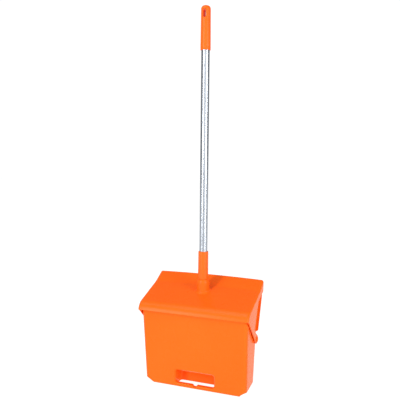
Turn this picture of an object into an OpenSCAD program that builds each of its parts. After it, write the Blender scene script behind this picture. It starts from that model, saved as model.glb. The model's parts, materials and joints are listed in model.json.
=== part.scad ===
// Upright hooded dustpan on a pole.
// The pan hangs on two pins under the hood and swings shut when the pole is lifted.
// X runs across the pan, Y from front to back and Z up, with the origin on the floor
// below the middle of the hood.

/* [Hood] */
// Width across the hood
hood_w = 308; // [300:1:320]
// Depth of the hood, front edge to rear edge
hood_d = 158; // [156:1:162]
// Wall thickness of the hood
hood_t = 3; // [2.6:0.1:3.2]
// Height of the hood's front edge above the floor
hood_front_z = 212.5; // [211:0.5:214]
// Slope of the roof in degrees
roof_slope = 16.2; // [15.5:0.1:18]
// Slope of the upswept rear part of the roof in degrees
rear_slope = 26; // [24:0.5:28]
// Outer radius of the rounded brow at the hood's front edge
brow_r = 32; // [30:0.5:33]

/* [Pan] */
// Width across the pan's floor plate
pan_bottom_w = 285; // [279:1:287]
// Width across the pan at its front rim
pan_top_w = 294.8; // [290:0.2:296]
// Wall thickness of the pan
pan_t = 2.8; // [2.4:0.1:3.2]
// Height of the floor plate above the floor, which is the height of the feet
foot_h = 3; // [2:0.5:4]
// Width across the sweeping lip
lip_w = 307; // [304:1:308]
// Width of the hand slot in the front wall
slot_w = 110; // [90:1:130]
// Depth of the hand pocket behind the front wall
pocket_d = 42; // [36:1:44]

/* [Hinge] */
// Distance of the hinge axis behind the middle of the hood
hinge_y = 18; // [17:0.5:19]
// Height of the hinge axis above the floor
hinge_z = 135; // [134:0.5:136]
// Diameter of the hinge pins
pin_d = 8; // [6:0.5:9]
// Radius of the rounded end of each hood arm
arm_tip_r = 11.4; // [11:0.2:12]

/* [Handle] */
// Outer diameter of the aluminium tube
tube_d = 22; // [20:0.5:24]
// Wall thickness of the tube
tube_t = 1.2; // [1:0.1:1.6]
// Length of tube that shows between the ferrule and the grip
tube_shown = 534; // [400:1:700]
// Backward lean of the pole in degrees
pole_lean = 1.7; // [0:0.1:2]
// Length of the plastic ferrule above the hood's socket
ferrule_l = 76; // [60:1:90]
// Length of the grip
grip_l = 114; // [108:1:140]
// Outer diameter of the grip
grip_d = 27; // [26:0.5:30]

/* [Hidden] */
$fn = 64;

// A length that carries a cut clear of the surface it starts from
eps = 0.01;
front_y = -hood_d / 2;
rear_y = hood_d / 2;
hinge = [hinge_y, hinge_z];

// Roof: a rounded brow, a long slope and a steeper rear part, as a line in Y and Z
brow_end_slope = 75;
brow_c = [front_y, hood_front_z] + brow_r * [sin(brow_end_slope), -cos(brow_end_slope)];
brow_end = brow_c + brow_r * [-sin(roof_slope), cos(roof_slope)];
bend_y = 31;
bend_z = brow_end[1] + (bend_y - brow_end[0]) * tan(roof_slope);
sweep_r = 70;
sweep_c = [bend_y, bend_z] + sweep_r * [-sin(roof_slope), cos(roof_slope)];

// Side of the hood: where the web meets the arm and the skirt, and the skirt's lower edge
web_corner = [-10, 170];
web_top = [20, 233];
skirt_z = 251;

// Socket for the handle, with a shoulder that slopes in to the ferrule
socket_y = 14;
socket_z = 288;
socket_d = 35;
shoulder_h = 9;
thread_d = 20;
thread_l = 28;
bore_gap = 0.05;

// Side faces of the pan and the hood arms share one draft
draft = atan((pan_top_w - pan_bottom_w) / 2 / 205);
pan_side_hinge = pan_bottom_w / 2 + (hinge_z - foot_h) * tan(draft);
arm_x = hood_w / 2 - (250 - hinge_z) * tan(draft);

// Hinge stack along X, from the inside out
nut_t = 1.5;
nut_d = 16;
washer_t = 0.8;
washer_d = 18;
play = 0.3;
boss_d = 24;
boss_in_x = pan_side_hinge - pan_t - 1.2;
boss_out_x = pan_side_hinge + 1.3;
washer_x = boss_out_x + play;
arm_pad_x = washer_x + washer_t;
arm_face_x = arm_x + 0.4;
head_t = 2.6;
head_d = 15;

// Pan: front wall, floor plate, back wall and lip, as points in Y and Z
pan_front_low = [-55, foot_h];
rim_z = 209.5;
pan_front_high = [-65.3, rim_z];
back_low = [20, foot_h];
lip_low = [33, 150];
lip_high = [76.4, 280];
lip_lean = atan((lip_high[0] - lip_low[0]) / (lip_high[1] - lip_low[1]));
back_lean = atan((lip_low[0] - back_low[0]) / (lip_low[1] - back_low[1]));
front_lean = atan((pan_front_low[0] - pan_front_high[0]) / (rim_z - foot_h));
rim_r = norm(pan_front_high - hinge);
corner_w = 18;
corner_h = 12;
lip_corner_r = 14;
wing_z = 246.5;
wing_step = 3.2;
wing_low_z = 164;
wing_draft = 2;

// Hand pocket
bar_h = 10;
bar_d = 11;
slot_top_z = 49;
notch_r = 6.5;
notch_depth = 5;

// Handle, measured along its own axis from the top of the socket
tube_start = 8;
tube_end = ferrule_l + tube_shown + 72;
grip_start = ferrule_l + tube_shown;
grip_end = grip_start + grip_l;
grip_taper = 0.8;
hang_w = 10;
hang_l = 24;
hang_mid = grip_end - 21;
ferrule_r = tube_d / 2 + 2.9;
rivet_d = 4;
rivet_head_d = 8;

function arc(c, r, a0, a1, n) =
    [for (i = [0:n]) let (a = a0 + (a1 - a0) * i / n) c + r * [cos(a), sin(a)]];

function reversed(list) = [for (i = [len(list) - 1:-1:0]) list[i]];

// Where the steep rear part of the roof starts, d below the outer surface
function rear_start(d) = sweep_c + (sweep_r + d) * [sin(rear_slope), -cos(rear_slope)];

// The roof line d below the outer surface, from the front edge to the rear edge
function roof_line(d) = concat(
    arc(brow_c, brow_r - d, 90 + brow_end_slope, 90 + roof_slope, 8),
    arc(sweep_c, sweep_r + d, 270 + roof_slope, 270 + rear_slope, 4),
    [[rear_y, rear_start(d)[1] + (rear_y - rear_start(d)[0]) * tan(rear_slope)]]);

// Extrudes an outline drawn in Y and Z along X, centred on x = 0
module along_x(w) {
    rotate([90, 0, 90]) linear_extrude(w, center = true) children();
}

// Turns a shape drawn along the handle's axis into place
module on_pole() {
    translate([0, socket_y, socket_z]) rotate([-pole_lean, 0, 0]) children();
}

// A rod along +X from x0 to x1 on the hinge axis
module hinge_rod(x0, x1, d) {
    translate([x0, hinge_y, hinge_z]) rotate([0, 90, 0]) cylinder(h = x1 - x0, d = d);
}

module both_sides() {
    children();
    mirror([1, 0, 0]) children();
}

// Everything under the roof, d below its outer surface
module under_roof(d) {
    polygon(concat(roof_line(d), [[rear_y, -20], [front_y + d, -20]]));
}

// Outline of the hood's side: a web under the front of the roof, an arm that slants back
// down to the hinge, and a skirt that runs to the rear edge
module side_outline() {
    intersection() {
        under_roof(1);
        polygon(concat(
            [[front_y, 320], [front_y, hood_front_z], [front_y + 5, hood_front_z]],
            arc(hinge, arm_tip_r, 226, 409, 16),
            arc(web_corner + [8, 4], 9, 229, 159, 6),
            [web_top],
            arc(web_top + [13, -2.5], 9, 149, 98, 5),
            [[rear_y - 4, skirt_z], [rear_y, 283]]));
    }
}

module hood_shell() {
    along_x(hood_w) polygon(concat(roof_line(0), reversed(roof_line(hood_t))));
}

// One side, leaning in with the draft so that it follows the side of the pan
module hood_side() {
    intersection() {
        translate([hood_w / 2, 0, 250]) rotate([0, draft, 0]) translate([-hood_t, 0, -250])
            rotate([90, 0, 90]) linear_extrude(hood_t) side_outline();
        translate([0, front_y, 0]) cube([hood_w / 2, hood_d, 400]);
    }
    hinge_rod(arm_pad_x, arm_face_x, 2 * arm_tip_r);
}

module socket_boss() {
    difference() {
        on_pole() rotate_extrude() polygon([
            [0, -60],
            [socket_d / 2, -60],
            [socket_d / 2, -shoulder_h],
            [socket_d / 2 - 0.9, -shoulder_h / 2],
            [socket_d / 2 - 2.6, -0.7],
            [socket_d / 2 - 3.4, 0],
            [0, 0]]);
        along_x(socket_d + 2) under_roof(hood_t - eps);
    }
}

module hood() {
    color("darkorange") difference() {
        union() {
            hood_shell();
            both_sides() hood_side();
            socket_boss();
        }
        on_pole() translate([0, 0, -thread_l - 2])
            cylinder(h = thread_l + 4, d = thread_d + 2 * bore_gap);
        both_sides() hinge_rod(arm_pad_x - 5, arm_face_x + 5, pin_d);
    }
}

// Side outline of the pan without its lip, t inside the outer faces
module pan_outline(t) {
    polygon([
        [pan_front_high[0] + t / cos(front_lean) - 4 * tan(front_lean), rim_z + 4],
        [pan_front_low[0] + t / cos(front_lean), foot_h + t],
        [back_low[0] - t / cos(back_lean), foot_h + t],
        [lip_low[0] - t / cos(back_lean), lip_low[1]],
        [lip_high[0] - t / cos(lip_lean), lip_high[1]],
        [lip_high[0] - 60, 330],
        [pan_front_high[0] + t, 330]]);
}

// Front outline of the pan, t inside the outer faces, with chamfered bottom corners
module pan_front_outline(t) {
    half_low = pan_bottom_w / 2 - t;
    half_high = pan_bottom_w / 2 + (330 - foot_h) * tan(draft) - t;
    low_z = foot_h + t;
    polygon([
        [-half_high, 330],
        [-half_low, low_z + corner_h],
        [-half_low + corner_w, low_z],
        [half_low - corner_w, low_z],
        [half_low, low_z + corner_h],
        [half_high, 330]]);
}

// A block that fills the pan, t inside its outer faces
module pan_block(t) {
    intersection() {
        along_x(hood_w) pan_outline(t);
        rotate([90, 0, 0]) linear_extrude(400, center = true) pan_front_outline(t);
    }
}

// Top edge of the pan's side walls: round about the hinge, then up to the lip
module pan_top_cut() {
    polygon(concat(
        arc(hinge, rim_r, 60, 90 + 51, 24),
        [[-100, rim_z + 4], [-100, 340], [100, 340], [100, 262], [70, 262]]));
}

// The sweeping lip, wider than the pan and rounded at its corners
module lip() {
    intersection() {
        along_x(lip_w) intersection() {
            polygon([
                lip_low,
                lip_high,
                lip_high - [pan_t / cos(lip_lean), 0],
                lip_low - [pan_t / cos(lip_lean), 0]]);
            under_roof(hood_t + 0.5);
        }
        rotate([90, 0, 0]) linear_extrude(400, center = true) lip_front_outline();
    }
}

// The lip from behind: it flares out to long wings, then steps in to clear the hood's skirts
module lip_front_outline() {
    corner_x = lip_w / 2 - wing_step - lip_corner_r;
    corner_z = 277 - lip_corner_r;
    polygon(concat(
        [[-pan_side_hinge, lip_low[1] - 1], [pan_side_hinge, lip_low[1] - 1],
            [lip_w / 2 - wing_draft, wing_low_z],
            [lip_w / 2, wing_z - 1], [lip_w / 2 - wing_step, wing_z + 1]],
        arc([corner_x, corner_z], lip_corner_r, 0, 90, 8),
        arc([-corner_x, corner_z], lip_corner_r, 90, 180, 8),
        [[-lip_w / 2 + wing_step, wing_z + 1], [-lip_w / 2, wing_z - 1],
            [-lip_w / 2 + wing_draft, wing_low_z]]));
}

// Outline in Y and Z of the hand pocket, grown by t for its walls
module pocket_outline(t) {
    back_y = pan_front_low[0] + pocket_d + t;
    polygon([
        [-80, slot_top_z + t],
        [pan_front_low[0] + 8, slot_top_z + t],
        [back_y - 6, slot_top_z - 10 + t],
        [back_y, slot_top_z - 20 + t],
        [back_y, -5],
        [-80, -5]]);
}

module grip_bar() {
    intersection() {
        pan_block(0);
        translate([-slot_w / 2 - 1, -80, 0])
            cube([slot_w + 2, 80 + pan_front_low[0] + bar_d, foot_h + bar_h]);
    }
}

module feet() {
    for (x = [-120, 120], y = [-44, 12])
        translate([x, y, 0]) cylinder(h = foot_h + 1, d = 10);
}

module pan() {
    color("orange") difference() {
        union() {
            difference() {
                pan_block(0);
                pan_block(pan_t);
                along_x(hood_w) pan_top_cut();
            }
            lip();
            intersection() {
                pan_block(0);
                along_x(slot_w + 2 * pan_t) pocket_outline(pan_t);
            }
            both_sides() hinge_rod(boss_in_x, boss_out_x, boss_d);
            feet();
        }
        difference() {
            along_x(slot_w) pocket_outline(0);
            grip_bar();
        }
        translate([0, -40, foot_h + bar_h + notch_r - notch_depth]) rotate([90, 0, 0])
            cylinder(h = 30, r = notch_r);
        both_sides() hinge_rod(boss_in_x - 5, boss_out_x + 5, pin_d + 2 * bore_gap);
    }
}

module ferrule() {
    color("darkorange") on_pole() difference() {
        rotate_extrude() polygon([
            [0, -thread_l],
            [thread_d / 2 - 1.5, -thread_l],
            [thread_d / 2, -thread_l + 1.5],
            [thread_d / 2, 0],
            [ferrule_r, 0],
            [ferrule_r - 0.3, ferrule_l - 1],
            [ferrule_r - 1.3, ferrule_l],
            [0, ferrule_l]]);
        translate([0, 0, tube_start]) cylinder(h = ferrule_l, d = tube_d + 2 * bore_gap);
        rivet_hole(ferrule_l - 26);
    }
}

module tube() {
    color("silver") on_pole() difference() {
        translate([0, 0, tube_start]) cylinder(h = tube_end - tube_start, d = tube_d);
        translate([0, 0, tube_start - 1])
            cylinder(h = tube_end - tube_start + 2, d = tube_d - 2 * tube_t);
        rivet_hole(ferrule_l - 26);
        rivet_hole(grip_start + 20);
    }
}

// A hole for a rivet, through the wall that faces back
module rivet_hole(s) {
    translate([0, 0, s]) rotate([-90, 0, 0]) cylinder(h = 30, d = rivet_d + 2 * bore_gap);
}

// A domed rivet whose head sits on a round wall of radius r
module rivet(s, r) {
    translate([0, r, s]) rotate([-90, 0, 0]) {
        translate([0, 0, -6.5]) cylinder(h = 7, d = rivet_d);
        rotate_extrude() polygon([
            [0, 0.05],
            [rivet_head_d / 2, 0.05],
            [rivet_head_d / 2 - 0.5, 0.8],
            [rivet_head_d / 2 - 2, 1.4],
            [0, 1.6]]);
    }
}

// Outline of the hanging slot: two half circles joined by straight sides
module hang_outline() {
    half = (hang_l - hang_w) / 2;
    polygon(concat(
        arc([0, hang_mid + half], hang_w / 2, 0, 180, 12),
        arc([0, hang_mid - half], hang_w / 2, 180, 360, 12)));
}

module grip() {
    half = grip_d / 2;
    color("darkorange") on_pole() difference() {
        rotate_extrude() polygon(concat(
            [[0, grip_start], [half - 1, grip_start], [half, grip_start + 1], [half, grip_start + 5]],
            arc([half - grip_taper - 9, grip_end - 9], 9, 0, 90, 8),
            [[0, grip_end]]));
        translate([0, 0, grip_start - 1])
            cylinder(h = tube_end - grip_start + 2, d = tube_d + 2 * bore_gap);
        rotate([90, 0, 0]) linear_extrude(2 * grip_d, center = true) hang_outline();
        rivet_hole(grip_start + 20);
    }
}

module ferrule_rivet() {
    color("gainsboro") on_pole() rivet(ferrule_l - 26, ferrule_r - 0.2);
}

module grip_rivet() {
    color("gainsboro") on_pole() rivet(grip_start + 20, grip_d / 2);
}

// A headed pin: domed head outside the arm, shank through the arm and the pan
module hinge_pin() {
    color("darkorange") {
        hinge_rod(boss_in_x - play - nut_t - 2, arm_face_x + 0.5, pin_d);
        translate([arm_face_x, hinge_y, hinge_z]) rotate([0, 90, 0]) rotate_extrude()
            polygon([[0, 0], [head_d / 2, 0], [head_d / 2, 0.8], [head_d / 2 - 1.2, 1.9],
                [head_d / 2 - 3, head_t], [0, head_t]]);
    }
}

module hinge_washer() {
    color("white") difference() {
        hinge_rod(washer_x, arm_pad_x, washer_d);
        hinge_rod(washer_x - 1, arm_pad_x + 1, pin_d + 2 * bore_gap);
    }
}

module push_nut() {
    color("silver") difference() {
        hinge_rod(boss_in_x - play - nut_t, boss_in_x - play, nut_d);
        hinge_rod(boss_in_x - play - nut_t - 1, boss_in_x, pin_d);
    }
}

module left_hinge_pin() { mirror([1, 0, 0]) hinge_pin(); }
module right_hinge_pin() { hinge_pin(); }
module left_hinge_washer() { mirror([1, 0, 0]) hinge_washer(); }
module right_hinge_washer() { hinge_washer(); }
module left_push_nut() { mirror([1, 0, 0]) push_nut(); }
module right_push_nut() { push_nut(); }

hood();
pan();
ferrule();
tube();
grip();
ferrule_rivet();
grip_rivet();
left_hinge_pin();
right_hinge_pin();
left_hinge_washer();
right_hinge_washer();
left_push_nut();
right_push_nut();
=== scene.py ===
import json
import math

import bmesh
import bpy
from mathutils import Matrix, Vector


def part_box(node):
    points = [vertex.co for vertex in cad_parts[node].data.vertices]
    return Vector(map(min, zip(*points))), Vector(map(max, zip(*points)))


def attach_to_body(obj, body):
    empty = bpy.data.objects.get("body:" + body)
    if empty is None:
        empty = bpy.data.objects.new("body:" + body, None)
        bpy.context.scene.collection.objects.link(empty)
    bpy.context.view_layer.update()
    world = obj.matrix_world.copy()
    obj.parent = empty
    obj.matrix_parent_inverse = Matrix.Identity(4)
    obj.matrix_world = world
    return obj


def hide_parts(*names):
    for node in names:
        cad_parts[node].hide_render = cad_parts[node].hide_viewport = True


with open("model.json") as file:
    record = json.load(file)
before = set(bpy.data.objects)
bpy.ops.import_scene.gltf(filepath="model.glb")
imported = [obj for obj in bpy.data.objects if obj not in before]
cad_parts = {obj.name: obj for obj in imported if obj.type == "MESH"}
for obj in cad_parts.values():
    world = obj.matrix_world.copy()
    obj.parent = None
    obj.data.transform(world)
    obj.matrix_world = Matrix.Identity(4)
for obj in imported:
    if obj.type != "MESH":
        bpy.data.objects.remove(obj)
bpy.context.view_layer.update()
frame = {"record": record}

# All shapes are worked out in millimetres and degrees, and stored in metres
MM = 0.001
# Points closer than this are one point after a cut
WELD = 0.01 * MM


def node_box(node):
    """Lowest and highest corner of a CAD node, in millimetres."""
    low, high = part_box(node)
    return Vector(low) / MM, Vector(high) / MM


HOOD_LOW, HOOD_HIGH = node_box("hood")
PAN_HIGH = node_box("pan")[1]
TUBE_LOW, TUBE_HIGH = node_box("tube")
FERRULE_LOW, FERRULE_HIGH = node_box("ferrule")
GRIP_LOW, GRIP_HIGH = node_box("grip")

HINGE = frame["record"]["behaviour"]["joints"][0]["pos_m"]
HINGE_Y = HINGE[1] / MM
HINGE_Z = HINGE[2] / MM

HOOD_BODY = "hood_and_handle"
PAN_BODY = "swinging_pan"


def sin_deg(angle):
    return math.sin(math.radians(angle))


def cos_deg(angle):
    return math.cos(math.radians(angle))


def tan_deg(angle):
    return math.tan(math.radians(angle))


def mix(a, b, amount):
    return a + (b - a) * amount


def smooth(low, high, value):
    """0 below low, 1 above high, and a soft step between."""
    t = min(1.0, max(0.0, (value - low) / (high - low)))
    return t * t * (3.0 - 2.0 * t)


# ---------------------------------------------------------------- outlines and meshes

def arc(center, radius, start, end, steps):
    """Points of an arc from start to end, in degrees."""
    angles = [mix(start, end, i / steps) for i in range(steps + 1)]
    return [(center[0] + radius * cos_deg(a), center[1] + radius * sin_deg(a)) for a in angles]


def rounded(corners, steps=6):
    """An open path through corners (a, b, radius), with each inner corner rounded."""
    path = [corners[0][:2]]
    for before, here, after in zip(corners, corners[1:], corners[2:]):
        corner = Vector(here[:2])
        back = (Vector(before[:2]) - corner).normalized()
        ahead = (Vector(after[:2]) - corner).normalized()
        radius = here[2]
        if radius == 0:
            path.append(tuple(corner))
            continue
        half = back.angle(ahead) / 2
        center = corner + (back + ahead).normalized() * (radius / math.sin(half))
        start = corner + back * (radius / math.tan(half)) - center
        end = corner + ahead * (radius / math.tan(half)) - center
        for i in range(steps + 1):
            # slerp gives a vector of length 1
            ray = start.slerp(end, i / steps) * radius
            path.append(tuple(center + ray))
    path.append(corners[-1][:2])
    return path


def mesh_object(name, points, faces):
    """A mesh object from points in millimetres, with its normals facing out."""
    mesh = bpy.data.meshes.new(name)
    mesh.from_pydata([tuple(c * MM for c in p) for p in points], [], faces)
    obj = bpy.data.objects.new(name, mesh)
    bpy.context.scene.collection.objects.link(obj)
    edit = bmesh.new()
    edit.from_mesh(mesh)
    bmesh.ops.recalc_face_normals(edit, faces=edit.faces)
    edit.to_mesh(mesh)
    edit.free()
    return obj


def loft(rings, closed=False):
    """Points and faces of a skin over rings of as many points each, with end caps unless closed."""
    count = len(rings[0])
    points = [p for ring in rings for p in ring]
    faces = []
    spans = len(rings) if closed else len(rings) - 1
    for k in range(spans):
        a = k * count
        b = (k + 1) % len(rings) * count
        for i in range(count):
            j = (i + 1) % count
            faces.append((a + i, a + j, b + j, b + i))
    if not closed:
        faces.append(tuple(reversed(range(count))))
        faces.append(tuple(range(len(points) - count, len(points))))
    return points, faces


def lathe(name, profile, place, closed=False, steps=64):
    """A turned piece. The profile is (radius, distance along the axis)."""
    turns = [360.0 * i / steps for i in range(steps)]
    rings = [[place(r * cos_deg(a), r * sin_deg(a), s) for a in turns] for r, s in profile]
    points, faces = loft(rings, closed=closed)
    return mesh_object(name, points, faces)


def apply_modifiers(obj):
    graph = bpy.context.evaluated_depsgraph_get()
    mesh = bpy.data.meshes.new_from_object(obj.evaluated_get(graph))
    old = obj.data
    obj.modifiers.clear()
    obj.data = mesh
    bpy.data.meshes.remove(old)


def combine(obj, tool, operation):
    """Adds the tool's solid to obj or cuts it out, deletes the tool and welds what is left."""
    change = obj.modifiers.new("combine", "BOOLEAN")
    change.operation = operation
    change.solver = "EXACT"
    change.object = tool
    apply_modifiers(obj)
    bpy.data.objects.remove(tool)
    edit = bmesh.new()
    edit.from_mesh(obj.data)
    bmesh.ops.remove_doubles(edit, verts=edit.verts, dist=WELD)
    bmesh.ops.dissolve_degenerate(edit, edges=edit.edges, dist=WELD)
    edit.to_mesh(obj.data)
    edit.free()


def join(obj, others):
    """One object from several closed solids."""
    edit = bmesh.new()
    edit.from_mesh(obj.data)
    for other in others:
        edit.from_mesh(other.data)
    edit.to_mesh(obj.data)
    edit.free()
    for other in others:
        bpy.data.objects.remove(other)


def soften(obj, angle, width=0.0):
    """Smooth shading up to a crease angle, with the sharper edges rounded if a width is given."""
    obj.data.shade_smooth()
    if width:
        bevel = obj.modifiers.new("edge", "BEVEL")
        bevel.width = width * MM
        bevel.segments = 3
        bevel.limit_method = "ANGLE"
        bevel.angle_limit = math.radians(angle)
        bevel.use_clamp_overlap = False
        bevel.harden_normals = False
    obj.data.set_sharp_from_angle(angle=math.radians(angle))
    weigh = obj.modifiers.new("normals", "WEIGHTED_NORMAL")
    weigh.keep_sharp = not width


def attach(obj, body, slot, material, *nodes):
    """Gives a piece its material and its body, and hides the CAD nodes that it stands for."""
    obj.data.materials.clear()
    obj.data.materials.append(material)
    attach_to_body(obj, body)
    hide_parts(*nodes)


# ---------------------------------------------------------------- materials

class Graph:
    """Short calls for building one node material."""

    def __init__(self, name):
        self.material = bpy.data.materials.new(name)
        self.material.use_nodes = True
        self.nodes = self.material.node_tree.nodes
        self.links = self.material.node_tree.links
        self.shader = self.nodes["Principled BSDF"]
        self.place = self.nodes.new("ShaderNodeTexCoord").outputs["Object"]

    def set(self, socket, value):
        """A number, a colour or another node's output goes into a socket."""
        if isinstance(value, bpy.types.NodeSocket):
            self.links.new(value, socket)
        else:
            socket.default_value = value

    def noise(self, scale, detail=4.0, stretch=(1.0, 1.0, 1.0)):
        mapping = self.nodes.new("ShaderNodeMapping")
        mapping.inputs["Scale"].default_value = stretch
        self.links.new(self.place, mapping.inputs["Vector"])
        node = self.nodes.new("ShaderNodeTexNoise")
        node.inputs["Scale"].default_value = scale
        node.inputs["Detail"].default_value = detail
        self.links.new(mapping.outputs["Vector"], node.inputs["Vector"])
        return node.outputs["Fac"]

    def span(self, value, low, high, out_low, out_high):
        """Maps value from low..high to out_low..out_high."""
        node = self.nodes.new("ShaderNodeMapRange")
        limits = {"From Min": low, "From Max": high, "To Min": out_low, "To Max": out_high}
        for name, number in limits.items():
            node.inputs[name].default_value = number
        self.links.new(value, node.inputs["Value"])
        return node.outputs["Result"]

    def math(self, operation, a, b):
        node = self.nodes.new("ShaderNodeMath")
        node.operation = operation
        self.set(node.inputs[0], a)
        self.set(node.inputs[1], b)
        return node.outputs["Value"]

    def blend(self, amount, first, second):
        node = self.nodes.new("ShaderNodeMix")
        node.data_type = "RGBA"
        self.set(node.inputs["Factor"], amount)
        self.set(node.inputs[6], first)
        self.set(node.inputs[7], second)
        return node.outputs[2]

    def height(self):
        """The height above the floor, in metres."""
        node = self.nodes.new("ShaderNodeSeparateXYZ")
        self.links.new(self.place, node.inputs["Vector"])
        return node.outputs["Z"]

    def bump(self, height, strength, distance):
        node = self.nodes.new("ShaderNodeBump")
        node.inputs["Strength"].default_value = strength
        node.inputs["Distance"].default_value = distance
        self.links.new(height, node.inputs["Height"])
        self.links.new(node.outputs["Normal"], self.shader.inputs["Normal"])


ORANGE = (0.90, 0.119, 0.0075, 1.0)
ORANGE_DEEP = (0.88, 0.110, 0.006, 1.0)
ORANGE_SCUFFED = (0.92, 0.19, 0.035, 1.0)
TUBE_LIGHT = (0.39, 0.42, 0.46, 1.0)
TUBE_DARK = (0.37, 0.40, 0.44, 1.0)
TUBE_BAND = (0.38, 0.40, 0.44, 1.0)
NYLON_LIGHT = (0.87, 0.86, 0.82, 1.0)
NYLON_DARK = (0.80, 0.79, 0.74, 1.0)
FLOOR_LIGHT = (0.31, 0.31, 0.31, 1.0)
FLOOR_DARK = (0.29, 0.29, 0.29, 1.0)
WHITE = (1.0, 1.0, 1.0, 1.0)
PLASTIC_IOR = 1.49


def moulded_plastic(name, wear_top=0.0, grain=1500.0, roughness=0.27, specular=0.09):
    """Satin moulded plastic. Below wear_top, in metres, its scuffs grow towards the floor."""
    g = Graph(name)
    tone = g.span(g.noise(7.0, detail=3.0), 0.3, 0.7, 0.0, 1.0)
    color = g.blend(tone, ORANGE, ORANGE_DEEP)
    gloss = g.span(g.noise(25.0), 0.3, 0.7, roughness - 0.03, roughness + 0.04)
    if wear_top:
        scratches = g.span(g.noise(60.0, detail=6.0, stretch=(0.35, 1.0, 5.0)), 0.62, 0.72, 0.0, 1.0)
        wear = g.math("MULTIPLY", scratches, g.span(g.height(), 0.0, wear_top, 1.0, 0.0))
        color = g.blend(g.math("MULTIPLY", wear, 0.45), color, ORANGE_SCUFFED)
        gloss = g.math("ADD", gloss, g.math("MULTIPLY", wear, 0.12))
    g.set(g.shader.inputs["Base Color"], color)
    g.set(g.shader.inputs["Roughness"], gloss)
    g.shader.inputs["IOR"].default_value = PLASTIC_IOR
    g.shader.inputs["Specular IOR Level"].default_value = specular
    g.bump(g.noise(grain, detail=2.0), 0.04, 0.0002)
    return g.material


def anodised_tube(name):
    """Drawn tube: fine lines along the pole over soft bands of tone."""
    g = Graph(name)
    lines = g.noise(300.0, detail=1.0, stretch=(1.0, 1.0, 0.002))
    bands = g.noise(5.0, detail=2.0)
    color = g.blend(g.span(lines, 0.3, 0.7, 0.0, 1.0), TUBE_LIGHT, TUBE_DARK)
    color = g.blend(g.span(bands, 0.4, 0.7, 0.0, 0.35), color, TUBE_BAND)
    g.set(g.shader.inputs["Base Color"], color)
    g.shader.inputs["Metallic"].default_value = 1.0
    g.set(g.shader.inputs["Roughness"], g.span(lines, 0.3, 0.7, 0.29, 0.32))
    g.bump(lines, 0.01, 0.0001)
    return g.material


def plain_metal(name, color, roughness):
    """Tumbled or plated metal with small dents and uneven gloss."""
    g = Graph(name)
    spots = g.noise(700.0)
    lighter = color + (1.0,)
    darker = tuple(0.8 * c for c in color) + (1.0,)
    shade = g.span(spots, 0.35, 0.7, 0.0, 1.0)
    g.set(g.shader.inputs["Base Color"], g.blend(shade, lighter, darker))
    g.shader.inputs["Metallic"].default_value = 1.0
    g.set(g.shader.inputs["Roughness"], g.span(spots, 0.3, 0.7, roughness - 0.05, roughness + 0.1))
    g.bump(spots, 0.08, 0.0001)
    return g.material


def nylon(name):
    """Natural nylon, cloudy at a small scale."""
    g = Graph(name)
    tone = g.noise(300.0, detail=3.0)
    g.set(g.shader.inputs["Base Color"], g.blend(tone, NYLON_LIGHT, NYLON_DARK))
    g.set(g.shader.inputs["Roughness"], g.span(tone, 0.3, 0.7, 0.42, 0.52))
    g.bump(tone, 0.06, 0.0001)
    return g.material


HOOD_PLASTIC = moulded_plastic("hood_plastic")
PAN_PLASTIC = moulded_plastic("pan_plastic", wear_top=0.05)
HANDLE_PLASTIC = moulded_plastic("handle_plastic", grain=1200.0, roughness=0.33, specular=0.18)
PIN_PLASTIC = moulded_plastic("pin_plastic", grain=1200.0, roughness=0.32)
TUBE_METAL = anodised_tube("tube_aluminium")
RIVET_METAL = plain_metal("rivet_aluminium", (0.78, 0.79, 0.80), 0.30)
SPRING_METAL = plain_metal("spring_steel", (0.55, 0.55, 0.56), 0.35)
WASHER_NYLON = nylon("washer_nylon")

# ---------------------------------------------------------------- hood

FRONT_Y = HOOD_LOW.y
REAR_Y = HOOD_HIGH.y
HALF_HOOD = HOOD_HIGH.x
HOOD_WALL = 3.0
HOOD_FRONT_Z = 212.5
ROOF_SLOPE = 16.2
REAR_SLOPE = 26.0
BROW_R = 32.0
BROW_TURN = 75.0
BEND_Y = 31.0
SWEEP_R = 70.0
ROOF_CROWN = 2.6
CROWN_FROM = -60
CROWN_TO = 79
FOLD_R = 6.0
DRAFT = 1.369
DRAFT_TOP_Z = 250.0
ARM_TIP_R = HINGE_Z - HOOD_LOW.z


def roof_stations():
    """Points (y, z) along the roof from front to rear, each with its outward normal."""
    brow = (FRONT_Y + BROW_R * sin_deg(BROW_TURN), HOOD_FRONT_Z - BROW_R * cos_deg(BROW_TURN))
    stations = []
    for a in [mix(90 + BROW_TURN, 90 + ROOF_SLOPE, i / 12) for i in range(13)]:
        normal = (cos_deg(a), sin_deg(a))
        stations.append((brow[0] + BROW_R * normal[0], brow[1] + BROW_R * normal[1], *normal))
    start_y, start_z = stations[-1][:2]
    flat = (-sin_deg(ROOF_SLOPE), cos_deg(ROOF_SLOPE))
    rise = tan_deg(ROOF_SLOPE)
    for y in [mix(start_y, BEND_Y, i / 8) for i in range(1, 8)]:
        stations.append((y, start_z + (y - start_y) * rise, *flat))
    bend_z = start_z + (BEND_Y - start_y) * rise
    sweep = (BEND_Y - SWEEP_R * sin_deg(ROOF_SLOPE), bend_z + SWEEP_R * cos_deg(ROOF_SLOPE))
    for a in [mix(ROOF_SLOPE, REAR_SLOPE, i / 5) for i in range(6)]:
        normal = (-sin_deg(a), cos_deg(a))
        stations.append((sweep[0] - SWEEP_R * normal[0], sweep[1] - SWEEP_R * normal[1], *normal))
    steep = stations[-1]
    end_y = REAR_Y - HOOD_WALL * sin_deg(REAR_SLOPE)
    for y in [mix(steep[0], end_y, i / 6) for i in range(1, 7)]:
        z = steep[1] + (y - steep[0]) * tan_deg(REAR_SLOPE)
        stations.append((y, z, *steep[2:]))
    return stations


STATIONS = roof_stations()


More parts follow.
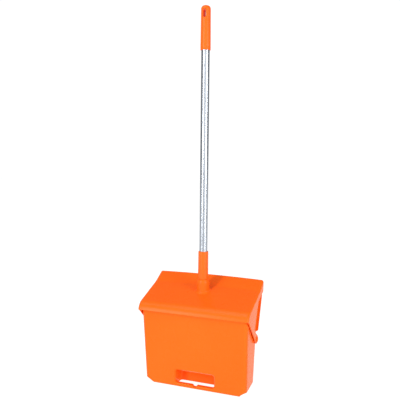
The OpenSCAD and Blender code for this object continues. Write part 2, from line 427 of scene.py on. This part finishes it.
def roof_height(y):
    """Height of the roof's outer surface at y, on the middle of its slope."""
    for a, b in zip(STATIONS, STATIONS[1:]):
        if a[0] <= y <= b[0]:
            return mix(a[1], b[1], (y - a[0]) / (b[0] - a[0]))
    return STATIONS[-1][1]


def crown(x, y):
    """How far the roof bows up towards the middle of its rear edge."""
    return ROOF_CROWN * (1 - (x / HALF_HOOD) ** 2) * smooth(CROWN_FROM, CROWN_TO, y)


def leaned(x, z):
    """The sides lean in with the draft below DRAFT_TOP_Z."""
    shift = max(0.0, DRAFT_TOP_Z - z) * tan_deg(DRAFT)
    return x - math.copysign(shift, x) if x else x


def roof_section(station):
    """Points across the hood at one station, from fold to fold."""
    y, z, ny, nz = station
    flat_steps = 10
    fold_steps = 8
    upright_from = 40
    # Towards the rear the fold turns from square with the roof to straight down
    upright = smooth(upright_from, REAR_Y, y)
    down = (ny * (1 - upright), nz * (1 - upright) + upright / nz)
    inner = HALF_HOOD - FOLD_R
    right = [(inner * i / flat_steps, 0.0) for i in range(flat_steps + 1)]
    for i in range(1, fold_steps + 1):
        turn = 90 * i / fold_steps
        right.append((inner + FOLD_R * sin_deg(turn), FOLD_R * (1 - cos_deg(turn))))
    across = [(-x, depth) for x, depth in reversed(right[1:])] + right
    points = []
    for x, depth in across:
        point_y = y - down[0] * depth
        point_z = z - down[1] * depth
        points.append((leaned(x, point_z), point_y, point_z + crown(x, point_y)))
    return points


def side_path():
    """Lower edge of the hood's side, from the rear fold to the front: skirt, web and arm."""
    # The web meets the round tip just before the tip's arc starts
    web_end = (HINGE_Y + ARM_TIP_R * cos_deg(52), HINGE_Z + ARM_TIP_R * sin_deg(52), 0)
    skirt_and_web = rounded([
        (REAR_Y - 1.8, 273.0, 0),
        (REAR_Y - 4.0, 250.4, 3),
        (21.8, 236.8, 9),
        (-11.0, 169.0, 9),
        web_end])
    tip = arc((HINGE_Y, HINGE_Z), ARM_TIP_R, 46, -132, 16)
    below_brow = (-66.5, 205.2)
    return skirt_and_web + tip + [below_brow]


def build_hood():
    """The roof, its folds and both sides with their arms, as one sheet made thick."""
    sections = [roof_section(s) for s in STATIONS]
    count = len(sections[0])
    points = [p for section in sections for p in section]
    faces = []
    for k in range(len(sections) - 1):
        for i in range(count - 1):
            a = k * count + i
            faces.append((a, a + 1, a + count + 1, a + count))
    for side, column in ((1, count - 1), (-1, 0)):
        fold = [k * count + column for k in range(len(sections))]
        edge = []
        for y, z in side_path():
            edge.append(len(points))
            points.append((side * leaned(HALF_HOOD, z), y, z))
        faces.append(tuple(fold + edge))
    hood = mesh_object("hood_shell", points, faces)
    wall = hood.modifiers.new("wall", "SOLIDIFY")
    wall.thickness = HOOD_WALL * MM
    wall.offset = -1.0
    wall.use_even_offset = True
    soften(hood, width=0.9, angle=50.0)
    return hood


# ---------------------------------------------------------------- pole frame

TUBE_R = (TUBE_HIGH.x - TUBE_LOW.x) / 2
TUBE_WALL = 1.2
TUBE_INSET = 8.0
LEAN = math.atan2(TUBE_HIGH.y - TUBE_LOW.y - 2 * TUBE_R, TUBE_HIGH.z - TUBE_LOW.z)
SOCKET_Y = TUBE_LOW.y + TUBE_R - TUBE_INSET * math.sin(LEAN)
SOCKET_Z = TUBE_LOW.z + TUBE_R * math.sin(LEAN) - TUBE_INSET * math.cos(LEAN)


def on_pole(x, y, s):
    """A point beside the pole's axis, s above the top of the socket."""
    return (x,
            SOCKET_Y + y * math.cos(LEAN) + s * math.sin(LEAN),
            SOCKET_Z - y * math.sin(LEAN) + s * math.cos(LEAN))


def along_pole(z):
    """Distance along the pole of a height on its axis."""
    return (z - SOCKET_Z) / math.cos(LEAN)


FERRULE_R = (FERRULE_HIGH.x - FERRULE_LOW.x) / 2
FERRULE_L = along_pole(FERRULE_HIGH.z) - 0.4
GRIP_R = (GRIP_HIGH.x - GRIP_LOW.x) / 2
GRIP_START = along_pole(GRIP_LOW.z) + 0.4
GRIP_END = along_pole(GRIP_HIGH.z)
SOCKET_R = 17.5


def build_boss():
    """The socket on the roof: a fillet that follows the roof, a wall and a sloped shoulder."""
    fillet_r = 4.5
    foot_y = SOCKET_Y - 0.7
    turns = [360.0 * i / 72 for i in range(72)]

    def roof_ring(radius, lift):
        ring = []
        for a in turns:
            x = radius * cos_deg(a)
            y = foot_y + radius * sin_deg(a)
            ring.append((x, y, roof_height(y) + crown(x, y) + lift))
        return ring

    rings = [roof_ring(SOCKET_R + fillet_r, -1.5)]
    for i in range(7):
        turn = 90 * i / 6
        radius = SOCKET_R + fillet_r * (1 - sin_deg(turn))
        rings.append(roof_ring(radius, 0.05 + fillet_r * (1 - cos_deg(turn))))
    # How much narrower than the socket's wall, and the place along the pole
    shoulder = [(0.0, -9.5), (0.35, -8.0), (1.3, -5.0), (2.4, -2.2), (2.9, -0.9), (3.5, -0.2), (4.5, 0.0)]
    for narrower, s in shoulder:
        radius = SOCKET_R - narrower
        rings.append([on_pole(radius * cos_deg(a), radius * sin_deg(a), s) for a in turns])
    points, faces = loft(rings)
    boss = mesh_object("hood_boss", points, faces)
    soften(boss, angle=50.0)
    return boss


def build_ferrule():
    """The sleeve between tube and socket, a little narrower at its top, with a rounded mouth."""
    top = FERRULE_L
    bore = TUBE_R + 0.1
    profile = [(bore, 1.0), (FERRULE_R - 0.8, 0.05), (FERRULE_R - 0.15, 0.5), (FERRULE_R, 1.4)]
    profile += [(FERRULE_R, top * 0.3), (FERRULE_R - 0.15, top * 0.6), (FERRULE_R - 0.3, top - 4.0)]
    profile += arc((FERRULE_R - 1.9, top - 1.6), 1.6, 0, 90, 6)
    profile += arc((TUBE_R + 0.6, top - 0.5), 0.5, 90, 180, 4)
    profile += [(bore, top - 12.0)]
    return lathe("ferrule_sleeve", profile, on_pole, closed=True)


def build_tube():
    """The tube, an open pipe with its outer edges chamfered."""
    low = TUBE_INSET
    high = along_pole(TUBE_HIGH.z) - 0.4
    outer = TUBE_R
    inner = TUBE_R - TUBE_WALL
    profile = [(inner, low), (outer - 0.2, low), (outer, low + 0.3)]
    profile += [(outer, mix(low, high, i / 12)) for i in range(1, 12)]
    profile += [(outer, high - 0.3), (outer - 0.2, high), (inner, high)]
    return lathe("pole_tube", profile, on_pole, closed=True)


HANG_BELOW_TOP = 21.0
HANG_L = 22.0
HANG_W = 8.6


def build_grip():
    """A tapered grip with a domed end and a slot for a hook right through it."""
    taper = 0.8
    dome = 9.0
    bore = TUBE_R + 0.06
    bore_end = along_pole(TUBE_HIGH.z) + 1.0
    top = GRIP_END - 0.2
    body_r = GRIP_R - 0.05
    groove_r = GRIP_R - 0.35
    tip_r = 0.4
    profile = [(tip_r, bore_end), (bore, bore_end), (bore, GRIP_START + 1.0), (bore + 0.8, GRIP_START)]
    profile += [(GRIP_R - 1.3, GRIP_START)]
    profile += arc((GRIP_R - 1.0, GRIP_START + 1.0), 1.0, -90, 0, 4)
    profile += [(GRIP_R, GRIP_START + 4.0), (groove_r, GRIP_START + 4.6), (groove_r, GRIP_START + 5.4)]
    profile += [(body_r, GRIP_START + 6.0)]
    for t in (0.15, 0.4, 0.7, 1.0):
        profile.append((body_r - taper * t, mix(GRIP_START + 6.0, top - dome, t)))
    profile += arc((body_r - taper - dome, top - dome), dome, 9, 90, 10)
    profile += [(tip_r, top + 0.1)]
    grip = lathe("grip_sleeve", profile, on_pole, steps=72)
    combine(grip, hang_cutter(), "DIFFERENCE")
    return grip


def hang_cutter():
    """A slot-shaped cutter that widens where it meets the grip's front and back."""
    middle = GRIP_END - HANG_BELOW_TOP
    half = (HANG_L - HANG_W) / 2
    rings = []
    for y, extra in hang_flare():
        radius = HANG_W / 2 + extra
        outline = arc((0, middle + half), radius, 0, 180, 13)
        outline += arc((0, middle - half), radius, 180, 360, 13)
        rings.append([on_pole(x, y, s) for x, s in outline])
    points, faces = loft(rings)
    return mesh_object("hang_cutter", points, faces)


def hang_flare():
    """(distance along Y, growth of the outline) from the front of the grip to its back."""
    flare = 0.7
    reach = 12.2
    steps = [(-GRIP_R - 2, flare * 1.6), (-reach, flare)]
    for turn in (20, 40, 60, 90):
        steps.append((-reach + flare * sin_deg(turn), flare * (1 - sin_deg(turn))))
    return steps + [(-y, extra) for y, extra in reversed(steps)]


def build_rivet(name, node, radius):
    """A domed rivet head on the back of the handle, with the shank behind it."""
    low, high = node_box(node)
    center_s = along_pole((low.z + high.z) / 2)
    head_r = (high.x - low.x) / 2
    rim = 0.25
    dome = 1.3

    def out_of_back(x, z, depth):
        return on_pole(x, radius + depth, center_s + z)

    profile = [(2.0, -6.5), (2.0, 0.0), (head_r, 0.0), (head_r, rim)]
    profile += [(head_r * cos_deg(a), rim + dome * sin_deg(a)) for a in (20, 40, 60, 75)]
    profile += [(1.2, 1.5), (1.0, 1.1), (0.3, 1.1)]
    rivet = lathe(name, profile, out_of_back, steps=40)
    soften(rivet, angle=35.0)
    return rivet


# ---------------------------------------------------------------- pan

PAN_WALL = 2.8
FOOT_H = 3.0
HALF_LOW = 142.5
# Points (y, z) on the outer faces of the front wall, the back wall and the lip
FRONT_LOW = (-55.0, FOOT_H)
FRONT_HIGH = (-65.3, 209.5)
BACK_LOW = (20.0, FOOT_H)
LIP_LOW = (33.0, 150.0)
LIP_HIGH = (76.4, 280.0)
RIM_R = math.hypot(FRONT_HIGH[0] - HINGE_Y, FRONT_HIGH[1] - HINGE_Z)
CORNER_W = 18.0
CORNER_H = 12.0
FRONT_CORNER_R = 10.0
BACK_CORNER_R = 7.0


def front_y_at(z):
    """The front wall's outer face."""
    return mix(FRONT_LOW[0], FRONT_HIGH[0], (z - FRONT_LOW[1]) / (FRONT_HIGH[1] - FRONT_LOW[1]))


def back_y_at(z):
    """The back wall, with its bend into the lip drawn as a soft curve."""
    bend = 9.0
    low_slope = (LIP_LOW[0] - BACK_LOW[0]) / (LIP_LOW[1] - BACK_LOW[1])
    high_slope = (LIP_HIGH[0] - LIP_LOW[0]) / (LIP_HIGH[1] - LIP_LOW[1])
    t = z - LIP_LOW[1]
    if t <= -bend:
        return LIP_LOW[0] + low_slope * t
    if t >= bend:
        return LIP_LOW[0] + high_slope * t
    return LIP_LOW[0] + low_slope * t + (high_slope - low_slope) * (t + bend) ** 2 / (4 * bend)


def half_width(z, inset):
    """Half the pan's width at z, with the bottom corners cut off at a slant."""
    floor = FOOT_H + inset
    full = HALF_LOW - inset + (z - FOOT_H) * tan_deg(DRAFT)
    if z >= floor + CORNER_H:
        return full
    return full - CORNER_W * (1 - (z - floor) / CORNER_H)


def pan_columns():
    """Where the points of a ring are: (wall, place from 0 to 1 along it)."""
    columns = [("front", i / 6) for i in range(7)]
    columns += [("front_right", i / 7) for i in range(1, 8)]
    columns += [("right", i / 14) for i in range(1, 15)]
    columns += [("back_right", i / 6) for i in range(1, 7)]
    columns += [("back", i / 6) for i in range(1, 7)]
    columns += [("back_left", i / 6) for i in range(1, 7)]
    columns += [("left", i / 14) for i in range(1, 15)]
    columns += [("front_left", i / 7) for i in range(1, 7)]
    return columns


def pan_point(column, z, inset, floor_inset):
    """A point of the pan's wall at height z, inset from the outer face."""
    wall, place = column
    half = half_width(z, floor_inset) + floor_inset - inset
    front = front_y_at(z) + inset
    back = back_y_at(z) - inset
    front_r = max(FRONT_CORNER_R - inset, 1.5)
    back_r = max(BACK_CORNER_R - inset, 1.5)
    if wall == "front":
        return (mix(-half + front_r, half - front_r, place), front, z)
    if wall == "front_right":
        turn = mix(-90, 0, place)
        return (half - front_r + front_r * cos_deg(turn), front + front_r + front_r * sin_deg(turn), z)
    if wall == "right":
        return (half, mix(front + front_r, back - back_r, place), z)
    if wall == "back_right":
        turn = mix(0, 90, place)
        return (half - back_r + back_r * cos_deg(turn), back - back_r + back_r * sin_deg(turn), z)
    if wall == "back":
        return (mix(half - back_r, -half + back_r, place), back, z)
    if wall == "back_left":
        turn = mix(90, 180, place)
        return (-half + back_r + back_r * cos_deg(turn), back - back_r + back_r * sin_deg(turn), z)
    if wall == "left":
        return (-half, mix(back - back_r, front + front_r, place), z)
    turn = mix(180, 270, place)
    return (-half + front_r + front_r * cos_deg(turn), front + front_r + front_r * sin_deg(turn), z)


def rim_height(column):
    """Height of the wall's top edge: it runs round the hinge, so the pan clears the hood."""
    clearance = 0.3
    z = FRONT_HIGH[1]
    for _ in range(30):
        y = pan_point(column, z, PAN_WALL / 2, 0.0)[1]
        on_circle = HINGE_Z + math.sqrt(RIM_R ** 2 - (y - HINGE_Y) ** 2)
        z = mix(z, on_circle - clearance, 0.6)
    return z


def build_bucket():
    """The pan's walls and floor as one closed skin: outside up, over the rim, inside down."""
    columns = pan_columns()
    tops = {column: rim_height(column) for column in columns}
    edge_r = 2.5
    inner_edge_r = 2.0
    half_wall = PAN_WALL / 2
    rings = []
    for i in range(5):
        turn = 90 * i / 4
        z = FOOT_H + edge_r * (1 - sin_deg(90 - turn))
        inset = edge_r * (1 - sin_deg(turn))
        rings.append([pan_point(c, z, inset, 0.0) for c in columns])
    bend = [141.0, 145.5, 150.0, 154.5, 159.0]
    for z in [FOOT_H + 8.0, FOOT_H + CORNER_H, 30.0, 80.0] + bend + [185.0]:
        rings.append([pan_point(c, z, 0.0, 0.0) for c in columns])
    for i in range(7):
        turn = 180 * i / 6
        inset = half_wall * (1 - cos_deg(turn))
        lift = half_wall * (sin_deg(turn) - 1)
        rings.append([pan_point(c, tops[c] + lift, inset, 0.0) for c in columns])
    for z in [185.0] + bend[::-1] + [80.0, 30.0, FOOT_H + PAN_WALL + CORNER_H]:
        rings.append([pan_point(c, z, PAN_WALL, PAN_WALL) for c in columns])
    for i in range(4):
        turn = 90 * i / 3
        z = FOOT_H + PAN_WALL + inner_edge_r * (1 - sin_deg(turn))
        extra = inner_edge_r * (1 - cos_deg(turn))
        rings.append([pan_point(c, z, PAN_WALL + extra, PAN_WALL) for c in columns])
    points, faces = loft(rings)
    return mesh_object("pan_bucket", points, faces)


POCKET_HALF = 55.0
POCKET_TOP = 49.0
POCKET_BACK = FRONT_LOW[0] + 42.0
BAR_TOP = FOOT_H + 10.0
BAR_DEPTH = 11.0
SLOT_CORNER_R = 7.0
MOUTH_FLARE = 4.6


def pocket_solid(name, grow, flare):
    """The hand pocket grown by its wall. A flare rounds the mouth of the hollow outward."""
    middle_z = 30.0
    end_r = 8.0
    mouth = front_y_at(middle_z)
    # Each stop from front to back: y, growth to each side, and how far the ceiling comes down
    stops = []
    if flare:
        stops.append((mouth - 6.0, flare + 1.5, 0.0))
        for turn in (0, 20, 40, 60, 90):
            stops.append((mouth - 0.6 + flare * sin_deg(turn), flare * (1 - sin_deg(turn)), 0.0))
    else:
        stops.append((mouth + 1.0, 0.0, 0.0))
    stops += [(-47.0, 0.0, 0.0), (-42.0, 0.0, 0.5), (-36.0, 0.0, 2.0), (-30.0, 0.0, 4.8)]
    for turn in (0, 25, 50, 70, 90):
        pull = end_r * (1 - cos_deg(turn))
        stops.append((POCKET_BACK - end_r + end_r * sin_deg(turn), -pull, 7.5 + 1.6 * pull))
    rings = []
    for y, widen, drop in stops:
        half = POCKET_HALF + grow + widen
        top = POCKET_TOP + grow + max(widen, 0.0) - drop
        corner = SLOT_CORNER_R + grow + widen * 0.3
        low = FOOT_H + 2.5 if grow else -6.0
        tilt = 0.0 if grow or y >= -50.0 else -0.05
        shifted = y + (grow if y > -30.0 else 0.0)
        beside_bar = POCKET_HALF + grow + min(widen, 0.0)
        fade = min(11.0, top - corner - BAR_TOP - 1.5)
        side = [(beside_bar, low)]
        for t in (0.0, 0.25, 0.5, 0.75, 1.0):
            side.append((mix(beside_bar, half, smooth(0, 1, t)), BAR_TOP + 1.0 + fade * t))
        outline = [(-x, z) for x, z in side]
        outline += arc((-half + corner, top - corner), corner, 180, 90, 6)
        outline += arc((half - corner, top - corner), corner, 90, 0, 6)
        outline += reversed(side)
        rings.append([(x, shifted + (z - middle_z) * tilt, z) for x, z in outline])
    points, faces = loft(rings)
    return mesh_object(name, points, faces)


def bar_height(x):
    """Height of the bar's top at x: a thumb notch in the middle and a fillet at each end."""
    notch_r = 6.5
    notch_depth = 5.0
    top = BAR_TOP
    if abs(x) < notch_r:
        top -= max(0.0, math.sqrt(notch_r ** 2 - x ** 2) - (notch_r - notch_depth))
    into_corner = min(abs(x) - (POCKET_HALF - SLOT_CORNER_R), SLOT_CORNER_R)
    if into_corner > 0:
        top += SLOT_CORNER_R - math.sqrt(SLOT_CORNER_R ** 2 - into_corner ** 2)
    return top


def build_bar():
    """The carrying bar across the bottom of the pocket, just inside the pan's outer faces."""
    inside = 0.05
    half = [mix(0.0, 7.0, i / 7) for i in range(8)] + [10.0, 25.0, 40.0]
    half += [POCKET_HALF - SLOT_CORNER_R * (1 - sin_deg(turn)) for turn in (0, 15, 30, 45, 60, 75)]
    half += [POCKET_HALF + 1.4]
    rings = []
    for x in [-x for x in reversed(half[1:])] + half:
        top = bar_height(x)
        low = FOOT_H + inside
        corner = min(2.4, (top - FOOT_H) / 2 - 0.1)
        front = front_y_at(FOOT_H) + inside
        back = front + BAR_DEPTH
        seam = (front + 5.0, low, 0)
        outline = rounded([
            seam, (front, low, corner), (front_y_at(top) + inside, top, corner),
            (back, top, corner), (back, low, corner), seam], steps=4)[:-1]
        rings.append([(x, y, z) for y, z in outline])
    points, faces = loft(rings)
    return mesh_object("pan_bar", points, faces)


def build_lip():
    """The sweeping lip: a flat blade in line with the upper back wall, with flared wings."""
    proud = 0.12
    thick = PAN_WALL + 2 * proud
    slope = (LIP_HIGH[0] - LIP_LOW[0]) / (LIP_HIGH[1] - LIP_LOW[1])
    lean = math.atan(slope)
    half = PAN_HIGH.x
    step_z = 246.5
    top = PAN_HIGH.z
    side = HALF_LOW + (LIP_LOW[1] - FOOT_H) * tan_deg(DRAFT) - 1.5
    step_in = 3.2
    right = rounded([
        (0.0, LIP_LOW[1] + 9.5, 0),
        (side, LIP_LOW[1] + 0.5, 3),
        (half - 2.2, 155.0, 3),
        (half, step_z - 1.0, 1.0),
        (half - step_in, step_z + 1.0, 3),
        (half - step_in, top, 14),
        (0.0, top, 0)])[1:-1]
    outline = right + [(-x, z) for x, z in reversed(right)]
    rings = []
    edge = 1.2
    middle_z = (LIP_LOW[1] + top) / 2
    for i in range(9):
        turn = mix(-90, 90, i / 8)
        depth = thick / 2 * (1 - sin_deg(turn))
        inset = edge * (1 - cos_deg(turn))
        ring = []
        for x, z in outline:
            pulled_x = x - math.copysign(inset, x)
            pulled_z = z - math.copysign(inset, z - middle_z)
            y = LIP_LOW[0] + (z - LIP_LOW[1]) * slope
            ring.append((pulled_x, y + proud - depth / math.cos(lean), pulled_z))
        rings.append(ring)
    points, faces = loft(rings)
    return mesh_object("pan_lip", points, faces)


PIN_R = 4.0
HINGE_HOLE_R = 4.1


def hinge_place(side):
    """Places a turned piece along the hinge axis, on the right (1) or the left (-1)."""
    return lambda y, z, x: (side * x, HINGE_Y + y, HINGE_Z + z)


FEET_X = (-120.0, 120.0)
FEET_Y = (-44.0, 12.0)


def build_pan():
    """The bucket with its hand pocket and bar, and the lip, hinge bosses and feet set into it."""
    bucket = build_bucket()
    combine(bucket, pocket_solid("pocket_walls", PAN_WALL, 0.0), "UNION")
    combine(bucket, pocket_solid("pocket_hollow", 0.0, MOUTH_FLARE), "DIFFERENCE")
    combine(bucket, build_bar(), "UNION")
    extras = [build_lip()]
    side = HALF_LOW + (HINGE_Z - FOOT_H) * tan_deg(DRAFT)
    boss = [(HINGE_HOLE_R, side - 4.0), (11.0, side - 4.0), (12.0, side - 3.2),
            (12.0, side + 0.5), (11.2, side + 1.3), (HINGE_HOLE_R, side + 1.3)]
    for hand in (1, -1):
        extras.append(lathe("pan_boss", boss, hinge_place(hand), closed=True))
    foot = [(3.2, 0.0), (4.3, 0.3), (5.0, 1.1), (5.0, 4.0)]
    for x in FEET_X:
        for y in FEET_Y:
            extras.append(lathe("pan_foot", foot, lambda a, b, s, x=x, y=y: (x + a, y + b, s), steps=32))
    join(bucket, extras)
    bucket.name = "pan_shell"
    soften(bucket, angle=38.0)
    return bucket


# ---------------------------------------------------------------- hinge hardware

# Sizes come from the right side's CAD nodes. The left side mirrors them
PIN_HEAD_H = 2.6


def build_arm_pad(side, name):
    """The round thickening at the tip of the hood's arm."""
    inner = node_box("right_hinge_washer")[1].x
    outer = node_box("right_hinge_pin")[1].x - PIN_HEAD_H
    rim = ARM_TIP_R - 0.1
    profile = [(PIN_R, inner), (ARM_TIP_R - 0.8, inner), (rim, inner + 0.7),
               (rim, outer - 0.7), (ARM_TIP_R - 0.8, outer), (PIN_R, outer)]
    pad = lathe(name, profile, hinge_place(side), closed=True)
    soften(pad, angle=40.0)
    return pad


def build_pin(side, name):
    """The hinge pin: a chamfered tip inside the pan and a low round head with a dimple."""
    low, high = node_box("right_hinge_pin")
    head_r = (high.z - low.z) / 2
    head = high.x - PIN_HEAD_H
    profile = [(2.8, low.x), (PIN_R, low.x + 1.2), (PIN_R, head + 0.02)]
    profile += [(head_r - 0.3, head + 0.02), (head_r, head + 0.3)]
    profile += [(head_r, head + 0.8), (head_r - 0.5, head + 1.5), (head_r - 1.8, head + 2.2)]
    profile += [(head_r - 3.4, high.x), (2.2, high.x), (1.8, high.x - 0.5), (0.4, high.x - 0.6)]
    pin = lathe(name, profile, hinge_place(side), steps=56)
    soften(pin, angle=38.0)
    return pin


def build_washer(side, name):
    """A flat ring with chamfered edges."""
    low, high = node_box("right_hinge_washer")
    outer = (high.z - low.z) / 2
    profile = [(HINGE_HOLE_R, low.x + 0.1), (4.3, low.x), (outer - 0.3, low.x), (outer, low.x + 0.2)]
    profile += [(outer, high.x - 0.2), (outer - 0.3, high.x), (4.3, high.x), (HINGE_HOLE_R, high.x - 0.1)]
    return lathe(name, profile, hinge_place(side), closed=True, steps=56)


def build_push_nut(side, name):
    """A dished ring whose inner edge is split into six teeth that bite the pin."""
    low, high = node_box("right_push_nut")
    outer = (high.z - low.z) / 2
    place = hinge_place(side)
    slit_r = 5.6
    per_tooth = 16
    tooth_width = 12
    count = 6 * per_tooth
    turns = [360.0 * i / count for i in range(count)]
    middle = (low.x + high.x) / 2
    # Place between the teeth's edge (0) and the rim (1), and distance along the hinge
    profile = [(0.0, low.x + 0.1), (0.55, middle - 0.1), (1.0, middle)]
    profile += [(1.0, high.x), (0.5, middle + 0.4), (0.0, low.x + 0.5)]
    rings = []
    for amount, x in profile:
        ring = []
        for index, a in enumerate(turns):
            bite = PIN_R if index % per_tooth < tooth_width else slit_r
            radius = mix(bite, outer, amount)
            ring.append(place(radius * cos_deg(a), radius * sin_deg(a), x))
        rings.append(ring)
    points, faces = loft(rings, closed=True)
    nut = mesh_object(name, points, faces)
    soften(nut, angle=30.0)
    return nut


# ---------------------------------------------------------------- assembly

attach(build_hood(), HOOD_BODY, "hood_plastic", HOOD_PLASTIC, "hood")
attach(build_boss(), HOOD_BODY, "hood_plastic", HOOD_PLASTIC, "hood")
for side, name in ((1, "right"), (-1, "left")):
    pad = build_arm_pad(side, name + "_arm_pad")
    attach(pad, HOOD_BODY, "hood_plastic", HOOD_PLASTIC, "hood")
    pin = build_pin(side, name + "_pin")
    attach(pin, HOOD_BODY, "pin_plastic", PIN_PLASTIC, name + "_hinge_pin")
    washer = build_washer(side, name + "_washer")
    attach(washer, HOOD_BODY, "washer_nylon", WASHER_NYLON, name + "_hinge_washer")
    nut = build_push_nut(side, name + "_nut")
    attach(nut, HOOD_BODY, "spring_steel", SPRING_METAL, name + "_push_nut")

attach(build_pan(), PAN_BODY, "pan_plastic", PAN_PLASTIC, "pan")

ferrule = build_ferrule()
soften(ferrule, angle=50.0)
attach(ferrule, HOOD_BODY, "handle_plastic", HANDLE_PLASTIC, "ferrule")
tube = build_tube()
soften(tube, angle=50.0)
attach(tube, HOOD_BODY, "tube_aluminium", TUBE_METAL, "tube")
grip = build_grip()
soften(grip, angle=42.0)
attach(grip, HOOD_BODY, "handle_plastic", HANDLE_PLASTIC, "grip")
for node, radius in (("ferrule_rivet", FERRULE_R - 0.2), ("grip_rivet", GRIP_R)):
    rivet = build_rivet(node + "_head", node, radius)
    attach(rivet, HOOD_BODY, "rivet_aluminium", RIVET_METAL, node)

# ---------------------------------------------------------------- floor, lights and camera

FLOOR_HALF = 6000.0
# Just under the pan's feet
FLOOR_Z = -0.2
FLOOR_GLOW = 0.9
BACKDROP = 1.05
ROOM_FILL = 0.34

# Name, place and the point it faces, size, all in metres, and power in watts
SOFTBOXES = [
    ("left_box", (-1.05, -2.15, 1.0), (0.0, 0.0, 0.4), (0.6, 1.6), 40.0),
    ("right_box", (2.28, -1.0, 0.8), (0.0, 0.0, 0.3), (1.0, 1.4), 46.0),
    ("front_box", (0.95, -2.6, 1.2), (0.0, 0.0, 0.5), (1.2, 1.4), 11.0),
    ("top_box", (-0.5, -0.6, 2.4), (0.0, 0.0, 0.2), (1.2, 1.2), 17.0)]


def add_floor():
    """A pale floor that glows enough to read as white."""
    corners = [(-1, -1), (1, -1), (1, 1), (-1, 1)]
    points = [(x * FLOOR_HALF, y * FLOOR_HALF, FLOOR_Z) for x, y in corners]
    floor = mesh_object("floor", points, [(0, 1, 2, 3)])
    g = Graph("floor")
    mottle = g.noise(1.5, detail=2.0)
    g.set(g.shader.inputs["Base Color"], g.blend(mottle, FLOOR_LIGHT, FLOOR_DARK))
    g.shader.inputs["Roughness"].default_value = 0.9
    g.shader.inputs["Specular IOR Level"].default_value = 0.1
    g.shader.inputs["Emission Color"].default_value = WHITE
    g.shader.inputs["Emission Strength"].default_value = FLOOR_GLOW
    floor.data.materials.append(g.material)


def add_softbox(name, place, aim, size, power):
    """A rectangular light that faces its aim."""
    light = bpy.data.lights.new(name, "AREA")
    light.shape = "RECTANGLE"
    light.size = size[0]
    light.size_y = size[1]
    light.energy = power
    lamp = bpy.data.objects.new(name, light)
    lamp.location = place
    lamp.rotation_euler = (Vector(aim) - Vector(place)).to_track_quat("-Z", "Y").to_euler()
    bpy.context.scene.collection.objects.link(lamp)


def add_world():
    """A white backdrop that lights the object no more than a dim room would."""
    world = bpy.data.worlds.new("studio")
    bpy.context.scene.world = world
    world.use_nodes = True
    nodes = world.node_tree.nodes
    links = world.node_tree.links
    background = nodes["Background"]
    background.inputs["Color"].default_value = WHITE
    path = nodes.new("ShaderNodeLightPath")
    level = nodes.new("ShaderNodeMapRange")
    level.inputs["To Min"].default_value = ROOM_FILL
    level.inputs["To Max"].default_value = BACKDROP
    links.new(path.outputs["Is Camera Ray"], level.inputs["Value"])
    links.new(level.outputs["Result"], background.inputs["Strength"])


# Camera: in front and to the right, a little above the middle of the pole
AZIMUTH = math.radians(20.16)
PITCH = math.radians(6.77)
DISTANCE = 1.409
FOCAL_PX = 525.8
FRAME_PX = 400
SENSOR = 36.0
LOOK_AT = (0.0, 0.014, 0.504)
LOOK_LEFT = 0.0083


def add_camera():
    """The camera looks along its own -Z, turned by AZIMUTH about the vertical."""
    cam = bpy.data.cameras.new("camera")
    cam.sensor_width = SENSOR
    cam.lens = FOCAL_PX / FRAME_PX * SENSOR
    cam.clip_end = 50
    obj = bpy.data.objects.new("camera", cam)
    bpy.context.scene.collection.objects.link(obj)
    level = math.cos(PITCH)
    forward = Vector((-math.sin(AZIMUTH) * level, math.cos(AZIMUTH) * level, -math.sin(PITCH)))
    right = Vector((math.cos(AZIMUTH), math.sin(AZIMUTH), 0.0))
    target = Vector(LOOK_AT) - right * LOOK_LEFT
    obj.location = target - forward * DISTANCE
    obj.rotation_mode = "QUATERNION"
    obj.rotation_quaternion = forward.to_track_quat("-Z", "Y")
    bpy.context.scene.camera = obj


add_floor()
for softbox in SOFTBOXES:
    add_softbox(*softbox)
add_world()
add_camera()
bpy.context.scene.view_settings.view_transform = "Standard"
